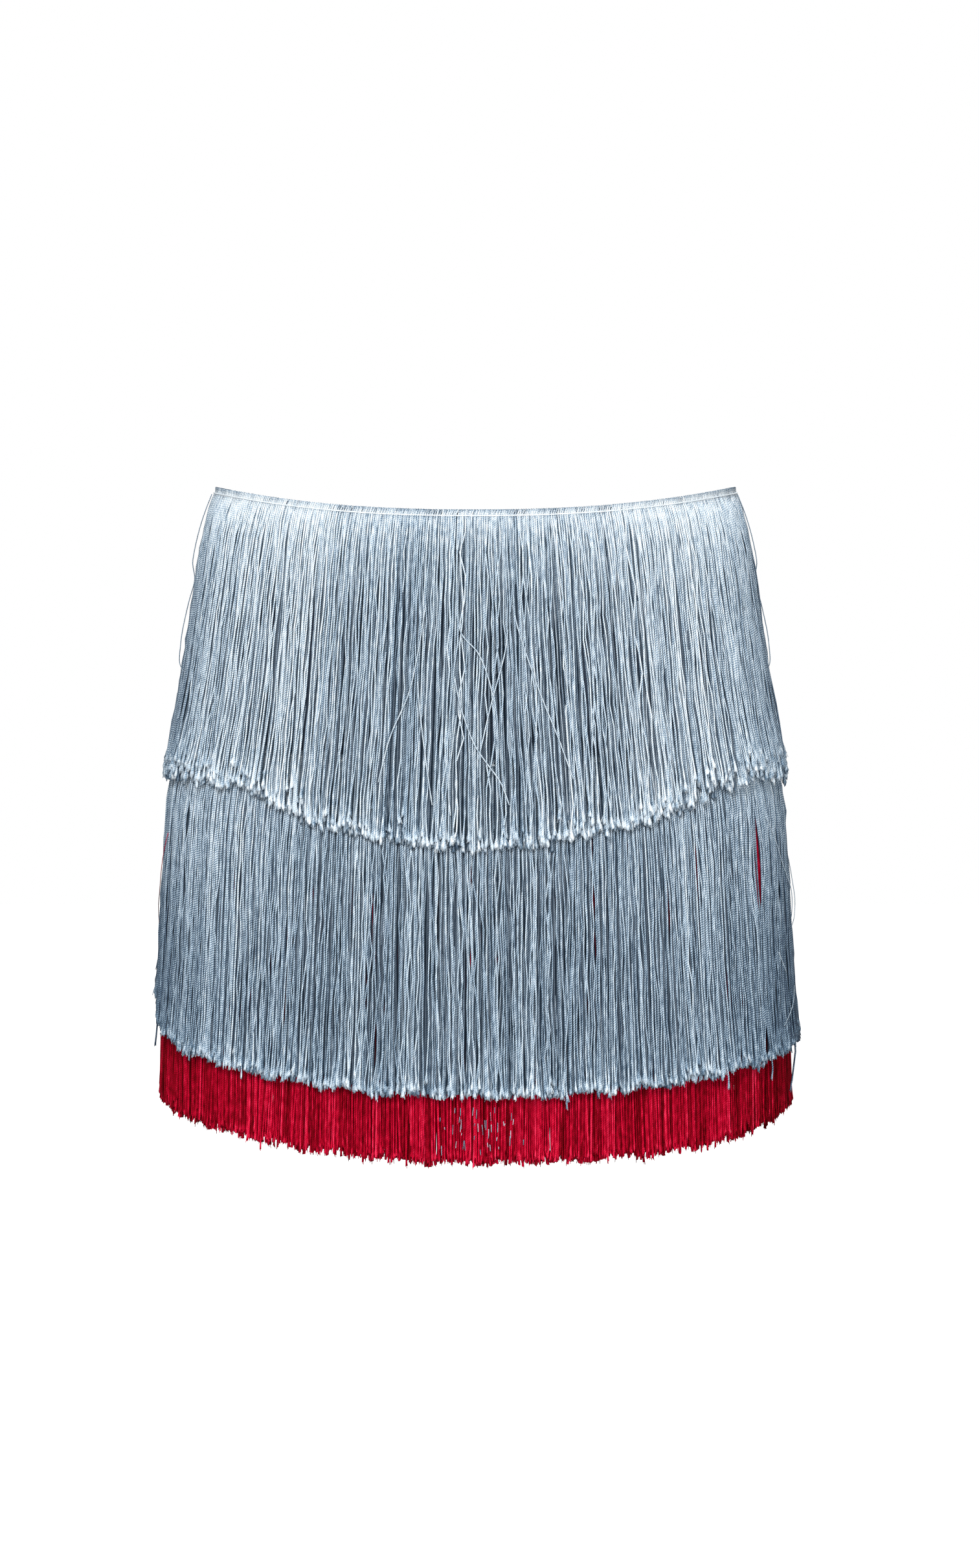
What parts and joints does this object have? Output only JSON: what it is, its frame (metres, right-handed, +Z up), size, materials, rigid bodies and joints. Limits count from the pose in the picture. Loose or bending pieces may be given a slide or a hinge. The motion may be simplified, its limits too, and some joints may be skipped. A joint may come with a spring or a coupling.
{
  "type": "fringe mini skirt",
  "caption": "Worn-shape mini skirt: a plain cloth base with overlapping tiers of hanging fringe, pale blue above a red one at the hem.",
  "frame": {"origin": "middle of the waist opening, level with the waist edge at centre front", "axes": "+Z up out of the waist, the front of the skirt faces -Y, +X to the right as seen from the front"},
  "size_m": [0.4018, 0.2955, 0.3998],
  "materials": {
    "base_cloth": "plain matt knit cloth, dark denim blue",
    "blue_fringe": "soft twisted yarn in pale and mid denim blue, frayed at the tips",
    "red_fringe": "soft twisted yarn in deep red"
  },
  "bodies": {
    "root": {"base_front": "base_cloth", "base_back": "base_cloth", "fringe_top": "blue_fringe", "fringe_middle": "blue_fringe", "fringe_red": "red_fringe"}
  },
  "joints": []
}
